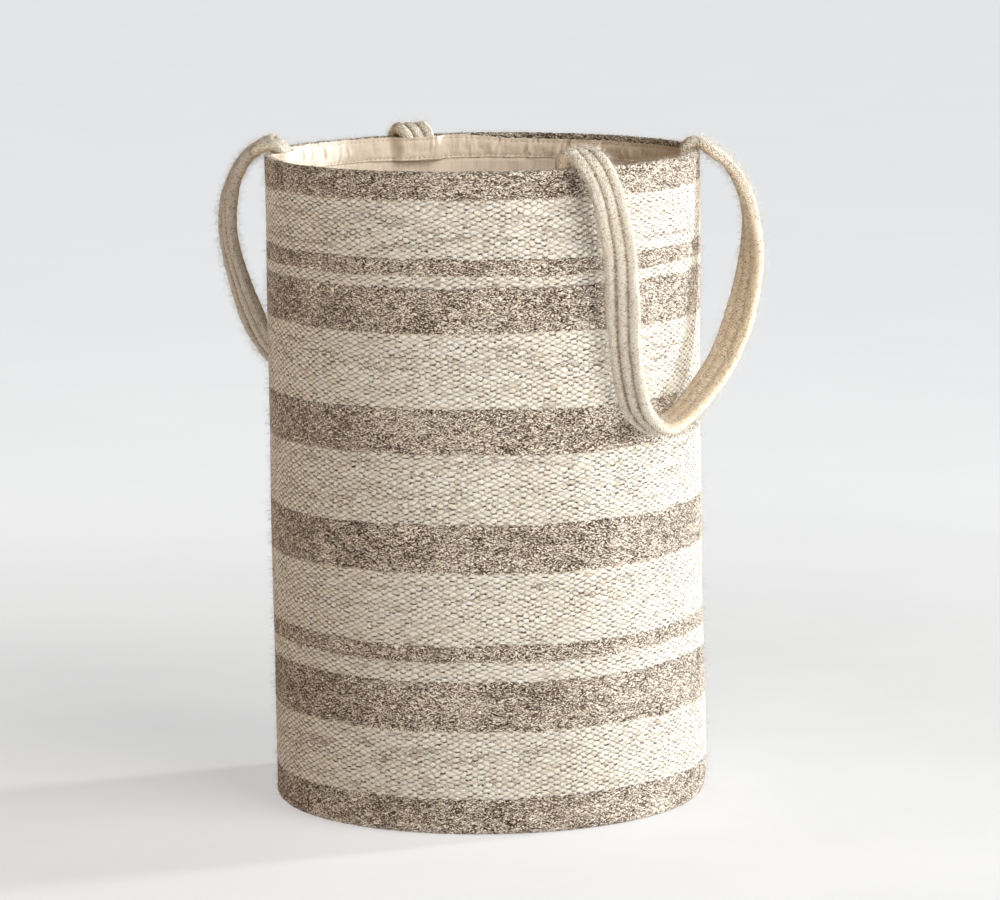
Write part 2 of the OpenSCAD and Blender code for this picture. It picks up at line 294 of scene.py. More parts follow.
def weave_look(m, s, t, taupe_at):
    """Colour, roughness and height of the striped weave. taupe_at(edge) gives 1 in taupe stripes."""
    x = m.math("MULTIPLY", s, 1276 / CYCLES)  # millimetres round the wall
    y = m.math("MULTIPLY", t, ROW / MM)
    mm = m.vec(x, y, 0.0)
    shift = m.math("SUBTRACT", m.noise(mm, 0.34, 1.0), 0.5)
    lift = m.math("SUBTRACT", m.noise(m.vec(y, x, 4.0), 0.30, 1.0), 0.5)
    sj = m.math("MULTIPLY_ADD", shift, 0.36, s)
    tj = m.math("MULTIPLY_ADD", lift, 0.9, t)
    h, ca, cb, _, _ = yarn_cells(m, sj, tj)
    row = m.math("SUBTRACT", ca, cb)
    col = m.math("FLOORED_MODULO", m.math("ADD", ca, cb), 2.0 * CYCLES)
    r1 = m.white(m.vec(col, row, 0.0))
    r2 = m.white(m.vec(row, col, 7.0))
    r3 = m.white(m.vec(col, row, 13.0))
    rowr = m.white(m.vec(row, 3.0, 1.0))
    right = fleck_noise(m, x, y, 0.42, 1.35)
    left = fleck_noise(m, x, y, -0.36, 1.35)
    pick = m.math("GREATER_THAN", m.noise(mm, 0.22, 1.0), 0.5)
    grain = m.math("MULTIPLY_ADD", m.math("SUBTRACT", right, left), pick, left)
    fine = m.noise(mm, 1.15, 2.0, 0.75)
    edge = m.math("MULTIPLY_ADD", m.math("SUBTRACT", grain, 0.5), 4.2, t)
    taupe = taupe_at(edge)
    # cream: pale rounded floats with a short dark curved gap below each, partly dark yarn and partly painted shade
    # under the float
    cream = m.mix(r1, (0.93, 0.845, 0.715), (1.0, 0.965, 0.885))
    cream = m.mix(m.remap(r2, 0.86, 1.0, 0.0, 0.45), cream, (0.50, 0.385, 0.285))
    # fine dark speckle, darkest in the low spots of the fine fibre relief: partly dark fibres, partly painted shade
    cream = m.mix(m.remap(fine, 0.34, 0.50, 0.62, 0.0), cream, (0.40, 0.29, 0.205))
    patch = m.noise(mm, 0.020, 2.0)
    streak = m.noise(m.vec(m.math("MULTIPLY", x, 0.25), y, 9.0), 0.11, 2.0)
    worn = m.math("MULTIPLY", m.remap(rowr, 0.62, 0.95), m.remap(streak, 0.45, 0.62))
    thin = m.remap(patch, 0.38, 0.62, 0.0, 1.0)
    _, da, db, ya, yb = yarn_cells(m, sj, m.math("ADD", tj, 1.0))
    across = m.math("SUBTRACT", m.math("ADD", ya, yb), 1.0)
    smile = m.math("MULTIPLY_ADD", m.math("MULTIPLY", across, across), -0.75, m.math("SUBTRACT", ya, yb))
    dash_r = m.white(m.vec(da, db, 21.0))
    thick = m.remap(m.math("ABSOLUTE", m.math("ADD", smile, 0.10)), 0.12, 0.38, 1.0, 0.0)
    arc = m.math("MULTIPLY", thick, m.remap(m.math("ABSOLUTE", across), 0.36, 0.80, 1.0, 0.0))
    arc = m.math("MULTIPLY", arc, m.remap(dash_r, 0.0, 0.75, 0.12, 1.0))
    broken = m.remap(m.noise(mm, 0.55, 1.0, 0.5), 0.40, 0.56, 0.10, 1.0)
    arc = m.math("MULTIPLY", arc, m.math("MULTIPLY", broken, m.math("MULTIPLY_ADD", thin, 0.15, 0.85)))
    # painted shade: the hollows between the floats, where the yarn height is low, are darkened
    cream = m.mix(m.remap(h, 0.0, 0.28, 0.50, 0.0), cream, (0.36, 0.25, 0.165))
    # the dark curved gap under each float: partly dark yarn, partly painted shade under the float
    cream = m.mix(m.math("MULTIPLY", arc, 1.15, clamp=True), cream, (0.055, 0.030, 0.017))
    dash = m.math("MULTIPLY", worn, m.remap(left, 0.47, 0.55))
    cream = m.mix(m.math("MULTIPLY", dash, 0.85), cream, (0.20, 0.135, 0.095))
    speck = m.math("MULTIPLY", m.remap(fine, 0.62, 0.68), m.remap(r3, 0.35, 0.7))
    cream = m.mix(m.math("MULTIPLY", speck, 0.85), cream, (0.05, 0.03, 0.02))
    # taupe: salt and pepper of dark and light fibres
    lean = m.math("MULTIPLY_ADD", m.math("SUBTRACT", r1, 0.5), 0.07, grain)
    lean = m.math("MULTIPLY_ADD", m.math("SUBTRACT", fine, 0.5), 0.55, lean)
    # painted shade: the taupe is darkened in the hollows between the floats
    lean = m.math("MULTIPLY_ADD", m.remap(h, 0.0, 0.30, 1.0, 0.0), -0.05, lean)
    lean = m.math("MULTIPLY_ADD", m.math("SUBTRACT", patch, 0.5), 0.14, lean)
    brown = m.ramp(lean, TAUPE_STOPS)
    colour = m.mix(taupe, cream, brown)
    height = m.math("MULTIPLY_ADD", grain, 0.55, m.math("POWER", h, 0.55))
    height = m.math("MULTIPLY_ADD", fine, 0.35, height)
    return colour, m.remap(grain, 0.35, 0.65, 0.84, 0.98), height


def woven_material():
    m = Shade("striped_weave")
    s, t = m.uv("weave")
    stops = [(0.0, 1.0)] + [(x / STRIPE_SPAN, float(i % 2)) for i, x in enumerate(STRIPES)]

    def taupe_at(edge):
        return m.ramp(m.math("DIVIDE", edge, STRIPE_SPAN), stops, "CONSTANT")

    colour, rough, height = weave_look(m, s, t, taupe_at)
    tone = m.noise(m.coords(), 9.0, 3.0, 0.6)
    colour = m.mix(m.remap(tone, 0.3, 0.7, 0.0, 0.08), colour, (0.47, 0.37, 0.28))
    return m.finish(colour, rough, m.bump(height, 0.0014, 1.0), 0.12, 0.12)


def cotton_material(name, base, warm, scale=1500.0):
    """Thin plain cotton: fine crossed threads, upright creases and soft tone changes."""
    m = Shade(name)
    s, t = m.uv("cloth")
    wx = m.math("SINE", m.math("MULTIPLY", s, scale * 4.0))
    wy = m.math("SINE", m.math("MULTIPLY", t, scale * 4.0))
    weave = m.math("MULTIPLY", wx, wy)
    slub_h = m.noise(m.vec(m.math("MULTIPLY", s, 160.0), m.math("MULTIPLY", t, 1300.0), 0.0), 1.0, 2.0, 0.6)
    slub_v = m.noise(m.vec(m.math("MULTIPLY", s, 1300.0), m.math("MULTIPLY", t, 160.0), 5.0), 1.0, 2.0, 0.6)
    slubs = m.math("ADD", slub_h, slub_v)
    crease = m.noise(m.vec(m.math("MULTIPLY", s, 260.0), m.math("MULTIPLY", t, 26.0), 2.0), 1.0, 2.0, 0.6)
    colour = m.mix(m.remap(slubs, 0.8, 1.25, 0.0, 0.45), base, warm)
    # painted shade: the hollows of the creases are darkened
    colour = m.mix(m.remap(crease, 0.36, 0.50, 0.55, 0.0), colour, warm)
    colour = m.mix(m.remap(weave, -1.0, 1.0, 0.0, 0.10), colour, tuple(x * 0.75 for x in warm))
    height = m.math("MULTIPLY_ADD", weave, 0.20, slubs)
    height = m.math("MULTIPLY_ADD", crease, 1.6, height)
    return m.finish(colour, m.remap(slubs, 0.7, 1.3, 0.95, 0.86), m.bump(height, 0.0005, 0.7), 0.1, 0.12)


def strap_material():
    """Cream cotton webbing: slanting yarn floats on each rib, heathered, with dark flecks and painted shade in the
    grooves, painted shade between the floats and on the back face.
    """
    m = Shade("strap_webbing")
    s, t = m.uv("cloth")  # s 0..1 round the section, t along in metres
    x = m.math("MULTIPLY", s, 84.0)
    y = m.math("MULTIPLY", t, 1000.0)
    mm = m.vec(x, y, 0.0)
    uneven = m.math("SUBTRACT", m.noise(mm, 0.45, 1.0), 0.5)
    shift = m.math("MULTIPLY_ADD", uneven, 1.1, m.math("MULTIPLY", y, 1 / 1.5))
    h, ca, cb, _, _ = yarn_cells(m, m.math("MULTIPLY", x, 1 / 3.2), shift)
    r1 = m.white(m.vec(ca, cb, 2.0))
    right = fleck_noise(m, x, y, 0.5, 1.15)
    left = fleck_noise(m, x, y, -0.5, 1.15)
    grain = m.math("MULTIPLY_ADD", m.math("SUBTRACT", right, left), 0.7, 0.5)
    fine = m.noise(mm, 1.0, 2.0, 0.75)
    tone = m.noise(m.coords(), 60.0, 3.0, 0.6)
    colour = m.mix(r1, (0.96, 0.88, 0.74), (1.0, 0.96, 0.87))
    colour = m.mix(m.remap(grain, 0.36, 0.46, 0.8, 0.0), colour, (0.36, 0.235, 0.125))
    colour = m.mix(m.remap(fine, 0.34, 0.45, 0.75, 0.0), colour, (0.30, 0.185, 0.09))
    colour = m.mix(m.remap(fine, 0.58, 0.66, 0.0, 0.8), colour, (0.99, 0.96, 0.89))
    colour = m.mix(m.remap(tone, 0.35, 0.7, 0.0, 0.12), colour, (0.72, 0.56, 0.38))
    groove = m.node("ShaderNodeAttribute", attribute_name="groove").outputs["Fac"]
    under = m.node("ShaderNodeAttribute", attribute_name="under").outputs["Fac"]
    # painted shade: the strap's back face, turned away from the lights, is tinted darker tan
    colour = m.mix(m.math("MULTIPLY", under, 0.6), colour, (0.86, 0.66, 0.44), "MULTIPLY")
    # dark flecks in the two grooves, with painted shade in the groove hollows
    flecks = m.math("MULTIPLY", groove, m.remap(grain, 0.62, 0.42, 0.35, 1.0))
    colour = m.mix(m.math("MULTIPLY", flecks, 0.85), colour, (0.25, 0.14, 0.055))
    # painted shade: the hollows between the yarn floats are darkened
    gap = m.remap(h, 0.0, 0.30, 0.50, 0.0)
    colour = m.mix(gap, colour, (0.30, 0.195, 0.105))
    speck = m.remap(m.noise(mm, 0.75, 1.0, 0.5), 0.70, 0.76)
    colour = m.mix(m.math("MULTIPLY", speck, 0.8), colour, (0.07, 0.04, 0.022))
    height = m.math("MULTIPLY_ADD", grain, 0.9, m.math("POWER", h, 0.6))
    return m.finish(colour, m.remap(grain, 0.3, 0.7, 0.84, 0.98), m.bump(height, 0.0009, 0.9), 0.15, 0.12)


def thread_material(name, dark, light):
    """Twisted thread: diagonal plies and small colour changes."""
    m = Shade(name)
    co = m.coords()
    ply = m.node("ShaderNodeTexWave", wave_type="BANDS", bands_direction="DIAGONAL")
    m.put(ply.inputs["Vector"], co)
    ply.inputs["Scale"].default_value = 420.0
    ply.inputs["Distortion"].default_value = 2.0
    n = m.noise(co, 500.0, 2.0, 0.6)
    colour = m.mix(m.remap(n, 0.3, 0.7), dark, light)
    colour = m.mix(m.math("MULTIPLY", ply.outputs["Fac"], 0.35), colour, tuple(x * 0.6 for x in dark))
    normal = m.bump(ply.outputs["Fac"], 0.0002, 0.7)
    return m.finish(colour, m.remap(n, 0.2, 0.8, 0.7, 0.9), normal, 0.15, 0.2)


def fibre_material(name, dark, light):
    """Single stray fibres: pale to brown, slightly glossy."""
    m = Shade(name)
    n = m.noise(m.coords(), 130.0, 2.0, 0.7)
    colour = m.mix(m.remap(n, 0.38, 0.62), dark, light)
    return m.finish(colour, m.remap(n, 0.3, 0.7, 0.55, 0.8), None, 0.1, 0.3)


def board_material(name, base, spot):
    """Pressed fibre sheet: mottled, with short flecks and a fine tooth."""
    m = Shade(name)
    co = m.coords()
    n = m.noise(co, 55.0, 4.0, 0.65)
    f = m.noise(co, 900.0, 2.0, 0.7)
    colour = m.mix(m.remap(n, 0.3, 0.7), base, spot)
    colour = m.mix(m.remap(f, 0.58, 0.72, 0.0, 0.6), colour, tuple(x * 0.5 for x in base))
    return m.finish(colour, m.remap(f, 0.3, 0.7, 0.75, 0.92), m.bump(f, 0.0002, 0.5), 0.0, 0.3)


def panel_material():
    """The underside: the same weave, laid flat in straight rows."""
    m = Shade("base_weave")
    sp = m.node("ShaderNodeSeparateXYZ")
    m.put(sp.inputs[0], m.coords())
    s = m.math("MULTIPLY", sp.outputs[0], CYCLES / 1.276)
    t = m.math("MULTIPLY", sp.outputs[1], 1 / ROW)
    colour, rough, height = weave_look(m, s, t, lambda edge: 1.0)
    return m.finish(colour, rough, m.bump(height, 0.001, 0.9), 0.15, 0.12)


MAT_WEAVE = woven_material()
MAT_PANEL = panel_material()
MAT_LINER = cotton_material("liner_cotton", (0.90, 0.79, 0.68), (0.76, 0.62, 0.49))
MAT_FACING = cotton_material("facing_cotton", (0.89, 0.78, 0.665), (0.75, 0.61, 0.48))
MAT_STRAP = strap_material()
MAT_GROOVE = thread_material("groove_thread", (0.33, 0.20, 0.085), (0.52, 0.36, 0.18))
MAT_SEAM = thread_material("seam_thread", (0.52, 0.37, 0.23), (0.72, 0.57, 0.40))
MAT_FIBRE = fibre_material("stray_fibre", (0.42, 0.32, 0.24), (0.92, 0.85, 0.74))
MAT_FUZZ = fibre_material("strap_fuzz", (0.74, 0.63, 0.48), (0.99, 0.97, 0.92))
MAT_BOARD = board_material("base_board_fibre", (0.30, 0.215, 0.14), (0.42, 0.32, 0.22))
MAT_SHEET = board_material("stiffener_fibre", (0.40, 0.32, 0.24), (0.52, 0.43, 0.33))


def dress(ob, mat, body="basket"):
    ob.data.materials.clear()
    ob.data.materials.append(mat)
    if body:
        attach(ob, body)
    return ob


# ---------------------------------------------------------------- woven cover
def build_cover(per_float=8, per_row=2):
    cols = CYCLES * per_float
    step = ROW / per_row
    # profile: r, z, normal r, normal z, path length in metres, relief share
    prof = []
    for r, z in ((0.1905, 0.0006), (0.1928, 0.0002)):
        prof.append((r, z, 0, -1, FOOT - FOOT_ARC - (R_OUT - FOOT - r), 0.25))
    for k in range(11):
        a = math.radians(-90 + 9 * k)
        c, s = math.cos(a), math.sin(a)
        path = FOOT - FOOT_ARC * (1 - k / 10)
        prof.append((R_OUT - FOOT + FOOT * c, FOOT + FOOT * s, c, s, path, 0.3 + 0.07 * k))
    n = int(round((Z_AXIS - FOOT) / step))
    for k in range(1, n + 1):
        z = FOOT + (Z_AXIS - FOOT) * k / n
        prof.append((R_OUT, z, 1, 0, z, 1.0))
    for k in range(1, 9):
        a = pi * k / 8
        c, s = math.cos(a), math.sin(a)
        prof.append((R_IN + HEM * c, Z_AXIS + HEM * s, c, s, Z_AXIS + HEM * a, 0.75))
    for k in range(1, 26):
        z = Z_AXIS - 0.0308 * k / 25
        prof.append((0.1966, z, -1, 0, Z_AXIS + 0.01005 + 0.0308 * k / 25, 0.45 if z > 0.597 else 0.15))
    top_rows = len(prof)
    # the hidden way back: lower edge of the hem, inside of the wall, top of the foot
    prof += [(r, z, 0, 0, 0, 0.0) for r, z in ((0.1972, 0.5755), (0.1992, 0.5755), (0.1997, 0.570))]
    prof += [(r, z, 0, 0, 0, 0.0) for r, z in ((0.1997, 0.30), (0.1997, 0.009), (0.1975, 0.0046))]
    prof += [(r, z, 0, 0, 0, 0.0) for r, z in ((0.195, 0.0034), (0.1905, 0.0032))]
    P = np.array(prof)
    phi = pi / 2 + np.arange(cols) / cols * 2 * pi
    u = np.arange(cols) / cols
    PH, _ = np.meshgrid(phi, P[:, 0])
    U = np.broadcast_to(u, PH.shape)
    r = np.broadcast_to(P[:, 0:1], PH.shape).copy()
    z = np.broadcast_to(P[:, 1:2], PH.shape).copy()
    vv = np.clip(z / 0.62, 0, 1)
    # weave coordinates with uneven rows and floats
    ds = 0.16 * vnoise(U, vv, 70, 60, 21) + 0.12 * vnoise(U, vv, 210, 200, 22)
    dt = 0.55 * vnoise(U, vv, 9, 7, 23) + 0.34 * vnoise(U, vv, 45, 60, 24)
    dt = dt + 0.24 * vnoise(U, vv, 160, 150, 25)
    S = U * CYCLES + ds
    T = P[:, 4:5] / ROW + dt
    h = pillow(S, T)
    size = 0.92 + 0.12 * vnoise(U, vv, 180, 160, 26)
    taupe = (np.searchsorted(STRIPES, np.clip(T, 0, STRIPE_SPAN - 1)) % 2) == 0
    amp = np.where(taupe, 0.0006, 0.0008) * P[:, 5:6] * size
    d = amp * (h**0.7 - 0.55) + P[:, 5:6] * 0.0003 * vnoise(U, vv, 420, 320, 27)
    w = wobble(PH, z)
    r = r + w * sstep(z, 0.0, 0.02) + P[:, 2:3] * d
    z = z + rim_lift(PH, z) + P[:, 3:4] * d
    z = np.maximum(z, 0.00005)
    verts = np.stack([r * np.cos(PH), r * np.sin(PH), z], -1)
    rows = len(P)
    faces = grid_faces(rows, cols, True, True)
    # UVs
    Uc = np.broadcast_to(np.arange(cols + 1) / cols, (rows + 1, cols + 1))
    path = np.concatenate([P[:, 4], [0.7]])
    path[top_rows:] = np.linspace(0.66, 0.70, rows + 1 - top_rows)
    Vb = np.broadcast_to(((path + 0.02) / 0.72)[:, None], (rows + 1, cols + 1))
    Sc = np.empty((rows + 1, cols + 1))
    Tc = np.empty((rows + 1, cols + 1))
    Sc[:rows, :cols], Tc[:rows, :cols] = S, T
    Sc[:rows, cols], Tc[:rows, cols] = S[:, 0] + CYCLES, T[:, 0]
    Sc[rows], Tc[rows] = Sc[0], Tc[0]
    Tc[top_rows:] = HIDDEN_ROW
    uvs = {"OFBake": grid_uv(rows, cols, True, True, Uc, Vb)}
    uvs["weave"] = grid_uv(rows, cols, True, True, Sc, Tc)
    return make_mesh("woven_cover", verts, faces, uvs)


cover = build_cover()
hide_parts("woven_shell")
dress(cover, MAT_WEAVE)


# ---------------------------------------------------------------- liner, facing and their seams
def end_gap(phi):
    """Angle in degrees to the nearest sewn-in strap end."""
    d = np.degrees(phi) % 360
    out = np.full_like(d, 999.0)
    for e in (31, 141, 203, 329):
        out = np.minimum(out, np.abs((d - e + 180) % 360 - 180))
    return out


def over_strap(phi):
    """1 where the facing lies over a strap end, 0 away from it."""
    return 1 - sstep(end_gap(phi), 5.3, 8.6)


POCKET = 0.0117  # how far a strap end pushes the facing inwards


def pucker(phi, z, top):
    """Gathers hanging from a seam at height top: sharp near it, wider and softer below."""
    u = phi / (2 * pi)
    below = np.clip(top - z, 0, 1)
    fine = np.exp(-below / 0.030)
    mid = np.exp(-below / 0.16)
    v = np.clip(below / 0.6, 0, 1)
    a = 0.00095 * fine * vnoise(u + 0.004 * v, v, 168, 40, 31)
    b = 0.0012 * mid * vnoise(u + 0.02 * v, v, 84, 14, 32)
    c = 0.0016 * (0.35 + 0.65 * sstep(below, 0.0, 0.12)) * vnoise(u - 0.05 * v, v, 31, 7, 33)
    e = 0.0010 * sstep(below, 0.02, 0.2) * vnoise(u, v, 13, 11, 34)
    return a + b + c + e


def cloth_tube(name, inner, outer, cols):
    """Closed thin tube from two surfaces given as arrays rows x cols x 3, top row last."""
    verts = np.concatenate([inner, outer[::-1]])
    total = verts.shape[0]
    faces = grid_faces(total, cols, True, True)[:, ::-1]
    length = np.linalg.norm(np.diff(np.concatenate([verts, verts[:1]])[:, 0], axis=0), axis=1)
    path = np.concatenate([[0], np.cumsum(length)])
    Uc = np.broadcast_to(np.arange(cols + 1) / cols, (total + 1, cols + 1))
    Vc = np.broadcast_to(path[:, None], (total + 1, cols + 1))
    bake = grid_uv(total, cols, True, True, Uc, Vc / path[-1])
    cloth = grid_uv(total, cols, True, True, Uc * 1.22, Vc)
    maps = {"OFBake": bake, "cloth": cloth}
    turned = {k: uv.reshape(-1, 4, 2)[:, ::-1].reshape(-1, 2) for k, uv in maps.items()}
    return make_mesh(name, verts, faces, turned)


def ring_points(r, phi, z):
    return np.stack([r * np.cos(phi), r * np.sin(phi), z], -1)


FACE_BOT, FACE_TOP = 0.5862, 0.6045
SEAM_Z = 0.5886


def face_top(phi):
    """Top edge of the facing: up at the rim round the left side, lower elsewhere."""
    d = np.degrees(phi) % 360
    return FACE_TOP + 0.0044 * sstep(d, 112, 130) * (1 - sstep(d, 236, 252))


def facing_radius(phi, z):
    """Inner surface of the facing band."""
    u = phi / (2 * pi)
    v = np.clip((z - FACE_BOT) / (face_top(phi) - FACE_BOT), 0, 1)
    # away from the strap ends the top leans out towards the rim
    top_out = 0.0018 * sstep(v, 0.55, 1.0) * (1 - over_strap(phi))
    base = 0.1934 + wobble(phi, z) + top_out - POCKET * over_strap(phi) * (0.9 + 0.1 * v)
    slant = u + 0.0035 * v * np.sin(37 * phi)
    gather = 0.0010 * vnoise(slant, v, 300, 2, 41) + 0.0006 * vnoise(slant, v, 120, 3, 42)
    gather = gather + 0.0008 * vnoise(u, v, 37, 2, 43)
    # drawn tight at the two seams
    tight = np.exp(-(((z - SEAM_Z) / 0.0016) ** 2)) + np.exp(-(((z - face_top(phi) + 0.003) / 0.0016) ** 2))
    # the ends of the band lap over each other at the side seam
    d = np.degrees(phi)
    lap = -0.0011 * sstep(d, 86.0, 86.6) * (1 - sstep(d, 96.0, 97.5))
    return base + gather * (1 - 0.5 * tight) + 0.0006 * tight + lap


def build_liner():
    cols = 1008
    zs = np.concatenate([np.linspace(0.0080, 0.40, 70), np.linspace(0.403, 0.5945, 92)])
    phi = np.arange(cols) / cols * 2 * pi
    PH, Z = np.meshgrid(phi, zs)
    off = wobble(PH, Z)
    tuck = sstep(Z, 0.0, 0.05)
    p = pucker(PH, Z, SEAM_Z) * (0.25 + 0.75 * tuck) * (1 - sstep(Z, 0.586, 0.594))
    press = over_strap(PH) * sstep(Z, 0.553, 0.587)
    r = LINER_R + off + np.minimum(p, 0.0006) - 0.0002 - press * 0.0004
    # the side seam draws the cloth in a little
    seam = np.exp(-(((np.degrees(PH) - 90) / 0.9) ** 2))
    r = r + seam * 0.0005 * (Z < 0.586)
    r = np.where(Z > FACE_BOT - 0.002, np.maximum(r, facing_radius(PH, Z) + 0.0014), r)
    inner = ring_points(r, PH, Z)
    outer = ring_points(np.full_like(r, 0.1960) + off * 0.9, PH, Z)
    return cloth_tube("liner_cloth", inner, outer, cols)


liner = build_liner()
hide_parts("liner_wall")
dress(liner, MAT_LINER)


def build_facing():
    cols = 1440
    rows = np.linspace(0, 1, 28)
    phi = np.arange(cols) / cols * 2 * pi
    PH, V = np.meshgrid(phi, rows)
    Z = FACE_BOT + (face_top(PH) - FACE_BOT) * V
    r = facing_radius(PH, Z)
    lift = rim_lift(PH, Z)
    ragged = 0.0004 * vnoise(PH / (2 * pi), 0.5 + 0 * PH, 180, 1, 44)
    edge = sstep(V, 0.85, 1.0) + sstep(-V, -0.05, 0.0)
    inner = ring_points(r, PH, Z + lift + ragged * edge)
    thick = 0.0009 * np.sin(0.12 + (pi - 0.24) * V) ** 0.35
    outer = ring_points(r + thick, PH, Z + lift + ragged * edge)
    return cloth_tube("facing_band", inner, outer, cols)


facing = build_facing()
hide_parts("liner_facing")
dress(facing, MAT_FACING)


def build_floor_cloth():
    rings, cols = 46, 720
    phi = np.arange(cols) / cols * 2 * pi
    rr = np.concatenate([[0.0004], np.linspace(0.004, 0.1938, rings - 1)])
    PH, R = np.meshgrid(phi, rr)
    u = PH / (2 * pi)
    k = sstep(R, 0.09, 0.19)
    soft = 0.0011 * vnoise((R * np.cos(PH) + 0.3) / 0.7, (R * np.sin(PH) + 0.3) / 0.7, 11, 11, 52)
    edge = 0.0014 * k * vnoise(u, R / 0.2, 96, 5, 51) + 0.0035 * sstep(R, 0.1865, 0.1938)
    z = 0.0083 + np.maximum(soft + edge, -0.0003)
    top = np.stack([R * np.cos(PH), R * np.sin(PH), z], -1)
    low = np.stack([R * np.cos(PH), R * np.sin(PH), np.full_like(R, 0.0066)], -1)
    verts = np.concatenate([top, low[::-1]])
    total = verts.shape[0]
    faces = grid_faces(total, cols, True, False)
    closed = np.concatenate([verts, verts[:, :1]], 1)
    under = np.arange(total)[:, None] >= rings
    bu = closed[..., 0] / 0.42 * 0.5 + 0.25 + 0.5 * under
    bv = closed[..., 1] / 0.42 + 0.5
    uvs = {
        "OFBake": grid_uv(total, cols, True, False, bu * 0.98 + 0.01, bv),
        "cloth": grid_uv(total, cols, True, False, closed[..., 0], closed[..., 1]),
    }
    ob = make_mesh("liner_floor_cloth", verts, faces, uvs)
    bm = bmesh.new()
    bm.from_mesh(ob.data)
    bmesh.ops.holes_fill(bm, edges=[e for e in bm.edges if e.is_boundary], sides=0)
    bm.to_mesh(ob.data)
    bm.free()
    return ob


floor_cloth = build_floor_cloth()
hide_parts("liner_floor")
dress(floor_cloth, MAT_LINER)


def build_side_seam():
    """Felled seam of the liner: a narrow folded strip, slightly drawn up by its stitching."""
    rows = 260
    zs = np.linspace(0.011, 0.5857, rows)
    across = np.array([-1.0, -0.86, -0.5, 0.0, 0.5, 0.86, 1.0])
    raise_ = np.array([0.0, 0.0008, 0.00105, 0.0009, 0.00105, 0.0008, 0.0])
    v = zs / 0.6
    pull = 0.0004 * vnoise(v * 0 + 0.3, v, 3, 120, 61) + 0.0007 * vnoise(v * 0 + 0.7, v, 3, 12, 62)
    phi0 = pi / 2 + 0.0015 * vnoise(v * 0 + 0.1, v, 3, 9, 63)
    front, back = [], []
    for a, h in zip(across, raise_):
        ph = phi0 + a * 0.0046 / 0.194
        gathers = pucker(ph, zs, SEAM_Z) * (0.25 + 0.75 * sstep(zs, 0, 0.05))
        base = LINER_R + wobble(ph, zs) + np.minimum(gathers, 0.0006) - 0.0003
        front.append(ring_points(base - h - 0.0002 + pull * 0.4 * (h > 0), ph, zs))
        back.append(ring_points(base + 0.0004, ph, zs))
    loop = np.stack(front + back[::-1], 1)
    n = loop.shape[1]
    faces = grid_faces(rows, n, True, False)
    caps_a = np.stack([[i, n - 1 - i, n - 2 - i, i + 1] for i in range(n // 2 - 1)])
    caps_b = caps_a[:, ::-1] + (rows - 1) * n
    faces = np.concatenate([faces, caps_a, caps_b])
    U = np.broadcast_to(np.linspace(0, 1, n + 1), (rows, n + 1))
    V = np.broadcast_to(zs[:, None], (rows, n + 1))
    pad = np.zeros((2 * len(caps_a) * 4, 2))
    uvs = {
        "OFBake": np.concatenate([grid_uv(rows, n, True, False, U * 0.9, V / 0.6), pad + 0.97]),
        "cloth": np.concatenate([grid_uv(rows, n, True, False, U * 0.02, V), pad]),
    }
    return make_mesh("liner_side_welt", loop.reshape(-1, 3), faces, uvs)


side_seam = build_side_seam()
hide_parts("liner_side_seam")
dress(side_seam, MAT_FACING)


def stitch_mesh(name, starts, ends, normals, radius, sag=0.35, sides=6):
    """Short rounded stitches from starts to ends, arching along normals. All arrays n x 3."""
    starts, ends, normals = (np.asarray(a, float) for a in (starts, ends, normals))
    ts = np.array([0.0, 0.12, 0.32, 0.5, 0.68, 0.88, 1.0])
    rad = np.array([0.25, 0.75, 1.0, 1.0, 1.0, 0.75, 0.25]) * radius
    arch = np.array([-0.9, -0.2, 0.5, 0.7, 0.5, -0.2, -0.9]) * radius * (1 + sag)
    d = ends - starts
    d = d / np.linalg.norm(d, axis=1)[:, None]
    nn = normals - (normals * d).sum(1)[:, None] * d
    nn = nn / np.linalg.norm(nn, axis=1)[:, None]
    bb = np.cross(d, nn)
    n = len(starts)
    k = len(ts)
    c = starts[:, None] + (ends - starts)[:, None] * ts[None, :, None] + nn[:, None] * arch[None, :, None]
    ang = np.arange(sides) / sides * 2 * pi
    wide = bb[:, None, None] * np.cos(ang)[None, None, :, None]
    high = nn[:, None, None] * np.sin(ang)[None, None, :, None] * 0.8
    off = (wide + high) * rad[None, :, None, None]
    V = (c[:, :, None] + off).reshape(n, k * sides, 3)
    one = grid_faces(k, sides, True, False)
    faces = (one[None] + (np.arange(n) * k * sides)[:, None, None]).reshape(-1, 4)
    base = np.arange(n)[:, None] * k * sides
    top = base + (k - 1) * sides
    ends = [(base, [3, 2, 1, 0]), (base, [5, 4, 3, 0]), (top, [0, 1, 2, 3]), (top, [0, 3, 4, 5])]
    caps = [first + np.array([corners]) for first, corners in ends]
    return make_mesh(name, V.reshape(-1, 3), np.concatenate([faces] + caps))


def ring_stitches(name, z, pitch, length, radius, surface, side=-1, slant=0.0, seed=70, jitter=0.0003):
    n = int(2 * pi * 0.19 / pitch)
    g = np.random.default_rng(seed)
    a0 = np.arange(n) / n * 2 * pi + g.uniform(-0.0006, 0.0006, n)
    a1 = a0 + length / 0.19
    z0 = z + g.uniform(-jitter, jitter, n)
    z1 = z + g.uniform(-jitter, jitter, n) + slant
    if z > 0.6:
        z0, z1 = z0 + face_top(a0) - FACE_TOP, z1 + face_top(a1) - FACE_TOP
    p0 = ring_points(surface(a0, z0), a0, z0 + rim_lift(a0, z0))
    p1 = ring_points(surface(a1, z1), a1, z1 + rim_lift(a1, z1))
    mid = (a0 + a1) / 2
    nrm = np.stack([side * np.cos(mid), side * np.sin(mid), 0 * mid], -1)
    return stitch_mesh(name, p0, p1, nrm, radius)


